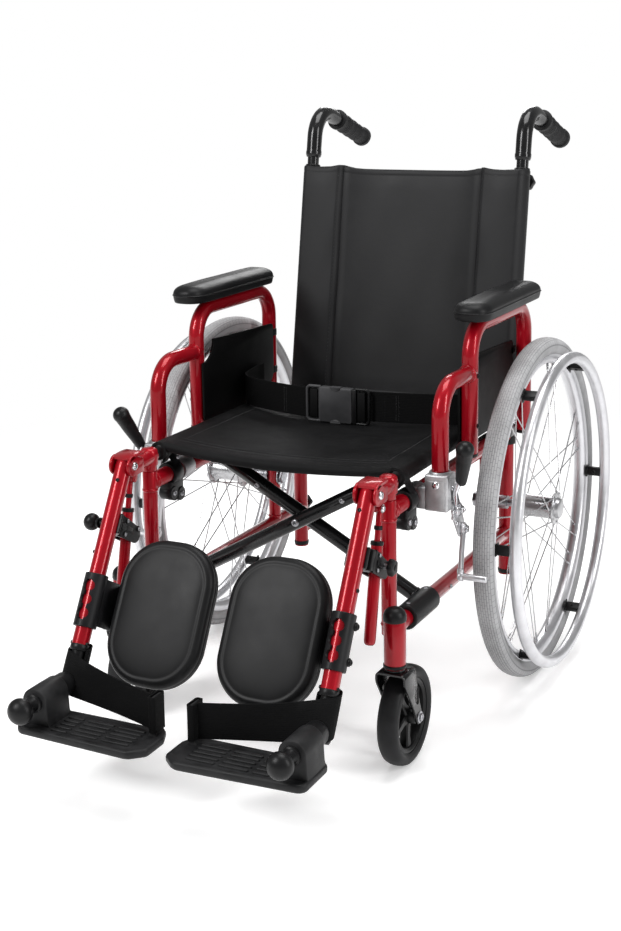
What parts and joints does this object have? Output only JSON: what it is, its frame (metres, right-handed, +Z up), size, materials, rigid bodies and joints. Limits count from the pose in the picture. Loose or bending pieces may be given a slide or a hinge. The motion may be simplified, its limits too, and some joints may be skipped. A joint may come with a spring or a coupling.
{
  "type": "folding pediatric wheelchair",
  "caption": "Folding self-propelled child's wheelchair with spoked rear wheels, handrims, flip-back armrests, elevating swing-away legrests and a lap belt.",
  "frame": {"origin": "on the floor, at the middle of the object's width and depth", "axes": "+Z up, -Y is the front of the chair (the direction the child faces), +X is the child's left"},
  "size_m": [0.687, 1.1848, 0.9221],
  "materials": {
    "red_paint": "candy red gloss paint over tube",
    "black_paint": "black powder coat over tube",
    "black_plastic": "moulded, fine texture",
    "black_vinyl": "vinyl-coated fabric over foam",
    "black_webbing": "woven nylon webbing",
    "grey_tyre": "solid grey rubber",
    "silver": "silver anodised",
    "cast_grey": "bead-blasted casting",
    "polished": "polished",
    "black_rubber": "matt"
  },
  "bodies": {
    "right_frame": {"back_upholstery": "black_vinyl", "belt_right": "black_webbing", "right_arm_socket": "cast_grey", "right_side_frame": "red_paint"},
    "brace_front": {"brace_front_bar": "black_paint", "seat_upholstery": "black_vinyl"},
    "brace_rear": {"brace_rear_bar": "black_paint"},
    "left_frame": {"belt_left": "black_webbing", "left_arm_socket": "cast_grey", "left_side_frame": "red_paint"},
    "buckle": {"buckle_housing": "black_plastic"},
    "buckle_insert": {"buckle_insert": "black_plastic"},
    "left_armrest": {"left_armrest_frame": "red_paint", "left_armrest_pad": "black_vinyl", "left_side_panel": "black_plastic"},
    "left_brake_lever": {"left_brake_lever": "silver"},
    "left_brake_shoe": {"left_brake_shoe": "silver"},
    "left_wheel": {"left_handrim": "silver", "left_hub": "polished", "left_rim": "silver", "left_tyre": "grey_tyre"},
    "left_caster_swivel": {"left_caster_fork": "black_paint"},
    "left_caster_wheel": {"left_caster_hub": "black_plastic", "left_caster_tyre": "black_rubber"},
    "left_push_handle": {"left_handle_grip": "black_rubber", "left_push_handle": "black_paint"},
    "left_handle_knob": {"left_handle_knob": "black_plastic"},
    "left_legrest_swing": {"left_hanger": "red_paint"},
    "left_leg": {"left_leg_tube": "red_paint", "left_strut_lock": "black_plastic"},
    "left_strut": {"left_strut": "red_paint"},
    "left_calf": {"left_calf_bracket": "black_paint", "left_calf_pad": "black_vinyl"},
    "left_foot": {"left_foot_extension": "black_plastic", "left_heel_strap": "black_webbing"},
    "left_footplate": {"left_footplate": "black_plastic"},
    "right_armrest": {"right_armrest_frame": "red_paint", "right_armrest_pad": "black_vinyl", "right_side_panel": "black_plastic"},
    "right_brake_lever": {"right_brake_lever": "silver"},
    "right_brake_shoe": {"right_brake_shoe": "silver"},
    "right_wheel": {"right_handrim": "silver", "right_hub": "polished", "right_rim": "silver", "right_tyre": "grey_tyre"},
    "right_caster_swivel": {"right_caster_fork": "black_paint"},
    "right_caster_wheel": {"right_caster_hub": "black_plastic", "right_caster_tyre": "black_rubber"},
    "right_push_handle": {"right_handle_grip": "black_rubber", "right_push_handle": "black_paint"},
    "right_handle_knob": {"right_handle_knob": "black_plastic"},
    "right_legrest_swing": {"right_hanger": "red_paint"},
    "right_leg": {"right_leg_tube": "red_paint", "right_strut_lock": "black_plastic"},
    "right_strut": {"right_strut": "red_paint"},
    "right_calf": {"right_calf_bracket": "black_paint", "right_calf_pad": "black_vinyl"},
    "right_foot": {"right_foot_extension": "black_plastic", "right_heel_strap": "black_webbing"},
    "right_footplate": {"right_footplate": "black_plastic"}
  },
  "joints": [
    {"name": "fold_front_bar", "type": "hinge", "parent": "right_frame", "child": "brace_front", "pos_m": [-0.199, -0.11767, 0.192], "axis": [0, -1, 0], "range_deg": [0, 40], "deforming": ["seat_upholstery", "back_upholstery", "belt_left", "belt_right"]},
    {"name": "fold_rear_bar", "type": "hinge", "parent": "brace_front", "child": "brace_rear", "pos_m": [0, -0.11767, 0.303], "axis": [0, -1, 0], "range_deg": [-80, 0]},
    {"name": "fold_left_frame", "type": "hinge", "parent": "brace_rear", "child": "left_frame", "pos_m": [0.199, 0.18433, 0.192], "axis": [0, -1, 0], "range_deg": [0, 40]},
    {"name": "buckle_shift", "type": "slide", "parent": "right_frame", "child": "buckle", "axis": [-1, 0, 0], "range_m": [0, 0.12]},
    {"name": "buckle_release", "type": "slide", "parent": "buckle", "child": "buckle_insert", "axis": [1, 0, 0], "range_m": [0, 0.025]},
    {"name": "left_armrest_flip", "type": "hinge", "parent": "left_frame", "child": "left_armrest", "pos_m": [0.24, 0.25433, 0.395], "axis": [-1, 0, 0], "range_deg": [0, 95]},
    {"name": "left_brake_lever", "type": "hinge", "parent": "left_frame", "child": "left_brake_lever", "pos_m": [0.2585, -0.11567, 0.352], "axis": [-1, 0, 0], "range_deg": [0, 40]},
    {"name": "left_brake_shoe", "type": "hinge", "parent": "left_frame", "child": "left_brake_shoe", "pos_m": [0.2585, -0.09367, 0.316], "axis": [1, 0, 0], "range_deg": [0, 7.6]},
    {"name": "left_wheel_spin", "type": "hinge", "parent": "left_frame", "child": "left_wheel", "pos_m": [0.29, 0.18433, 0.27844], "axis": [1, 0, 0], "continuous": true},
    {"name": "left_caster_swivel", "type": "hinge", "parent": "left_frame", "child": "left_caster_swivel", "pos_m": [0.226, -0.27067, 0.158], "axis": [0, 0, 1], "continuous": true},
    {"name": "left_caster_spin", "type": "hinge", "parent": "left_caster_swivel", "child": "left_caster_wheel", "pos_m": [0.226, -0.23567, 0.07287], "axis": [1, 0, 0], "continuous": true},
    {"name": "left_handle_height", "type": "slide", "parent": "left_frame", "child": "left_push_handle", "axis": [0, 0.1719, 0.9851], "range_m": [0, 0.06]},
    {"name": "left_handle_knob", "type": "hinge", "parent": "left_frame", "child": "left_handle_knob", "pos_m": [0.199, 0.37043, 0.79582], "axis": [0, 0.9851, -0.1719], "continuous": true},
    {"name": "left_legrest_swing", "type": "hinge", "parent": "left_frame", "child": "left_legrest_swing", "pos_m": [0.199, -0.22767, 0.39], "axis": [0, 0, 1], "range_deg": [0, 90]},
    {"name": "left_leg_elevate", "type": "hinge", "parent": "left_legrest_swing", "child": "left_leg", "pos_m": [0.199, -0.29767, 0.416], "axis": [-1, 0, 0], "range_deg": [0, 60]},
    {"name": "left_strut_swing", "type": "hinge", "parent": "left_legrest_swing", "child": "left_strut", "pos_m": [0.205, -0.27267, 0.3895], "axis": [-1, 0, 0], "range_deg": [0, 61.8]},
    {"name": "left_calf_slide", "type": "slide", "parent": "left_leg", "child": "left_calf", "axis": [0, -0.4909, -0.8712], "range_m": [-0.02, 0.02]},
    {"name": "left_foot_slide", "type": "slide", "parent": "left_leg", "child": "left_foot", "axis": [0, -0.4909, -0.8712], "range_m": [0, 0.05]},
    {"name": "left_footplate_flip", "type": "hinge", "parent": "left_foot", "child": "left_footplate", "pos_m": [0.199, -0.47609, 0.138], "axis": [0, 1, 0], "range_deg": [0, 90], "deforming": ["left_heel_strap"]},
    {"name": "right_armrest_flip", "type": "hinge", "parent": "right_frame", "child": "right_armrest", "pos_m": [-0.24, 0.25433, 0.395], "axis": [-1, 0, 0], "range_deg": [0, 95]},
    {"name": "right_brake_lever", "type": "hinge", "parent": "right_frame", "child": "right_brake_lever", "pos_m": [-0.2585, -0.11567, 0.352], "axis": [-1, 0, 0], "range_deg": [0, 40]},
    {"name": "right_brake_shoe", "type": "hinge", "parent": "right_frame", "child": "right_brake_shoe", "pos_m": [-0.2585, -0.09367, 0.316], "axis": [1, 0, 0], "range_deg": [0, 7.6]},
    {"name": "right_wheel_spin", "type": "hinge", "parent": "right_frame", "child": "right_wheel", "pos_m": [-0.29, 0.18433, 0.27844], "axis": [1, 0, 0], "continuous": true},
    {"name": "right_caster_swivel", "type": "hinge", "parent": "right_frame", "child": "right_caster_swivel", "pos_m": [-0.226, -0.27067, 0.158], "axis": [0, 0, 1], "continuous": true},
    {"name": "right_caster_spin", "type": "hinge", "parent": "right_caster_swivel", "child": "right_caster_wheel", "pos_m": [-0.226, -0.23567, 0.07287], "axis": [1, 0, 0], "continuous": true},
    {"name": "right_handle_height", "type": "slide", "parent": "right_frame", "child": "right_push_handle", "axis": [0, 0.1719, 0.9851], "range_m": [0, 0.06]},
    {"name": "right_handle_knob", "type": "hinge", "parent": "right_frame", "child": "right_handle_knob", "pos_m": [-0.199, 0.37043, 0.79582], "axis": [0, 0.9851, -0.1719], "continuous": true},
    {"name": "right_legrest_swing", "type": "hinge", "parent": "right_frame", "child": "right_legrest_swing", "pos_m": [-0.199, -0.22767, 0.39], "axis": [0, 0, -1], "range_deg": [0, 90]},
    {"name": "right_leg_elevate", "type": "hinge", "parent": "right_legrest_swing", "child": "right_leg", "pos_m": [-0.199, -0.29767, 0.416], "axis": [-1, 0, 0], "range_deg": [0, 60]},
    {"name": "right_strut_swing", "type": "hinge", "parent": "right_legrest_swing", "child": "right_strut", "pos_m": [-0.205, -0.27267, 0.3895], "axis": [-1, 0, 0], "range_deg": [0, 61.8]},
    {"name": "right_calf_slide", "type": "slide", "parent": "right_leg", "child": "right_calf", "axis": [0, -0.4909, -0.8712], "range_m": [-0.02, 0.02]},
    {"name": "right_foot_slide", "type": "slide", "parent": "right_leg", "child": "right_foot", "axis": [0, -0.4909, -0.8712], "range_m": [0, 0.05]},
    {"name": "right_footplate_flip", "type": "hinge", "parent": "right_foot", "child": "right_footplate", "pos_m": [-0.199, -0.47609, 0.138], "axis": [0, -1, 0], "range_deg": [0, 90], "deforming": ["right_heel_strap"]}
  ],
  "couplings": [
    {"joint": "fold_rear_bar", "follows": "fold_front_bar", "ratio": -2},
    {"joint": "fold_left_frame", "follows": "fold_front_bar", "ratio": 1},
    {"joint": "buckle_shift", "follows": "fold_front_bar", "m_per_rad": 0.169},
    {"joint": "left_brake_shoe", "follows": "left_brake_lever", "ratio": 0.19},
    {"joint": "left_legrest_swing", "follows": "fold_front_bar", "ratio": 2.25},
    {"joint": "left_strut_swing", "follows": "left_leg_elevate", "ratio": 1.03},
    {"joint": "right_brake_shoe", "follows": "right_brake_lever", "ratio": 0.19},
    {"joint": "right_strut_swing", "follows": "right_leg_elevate", "ratio": 1.03}
  ]
}
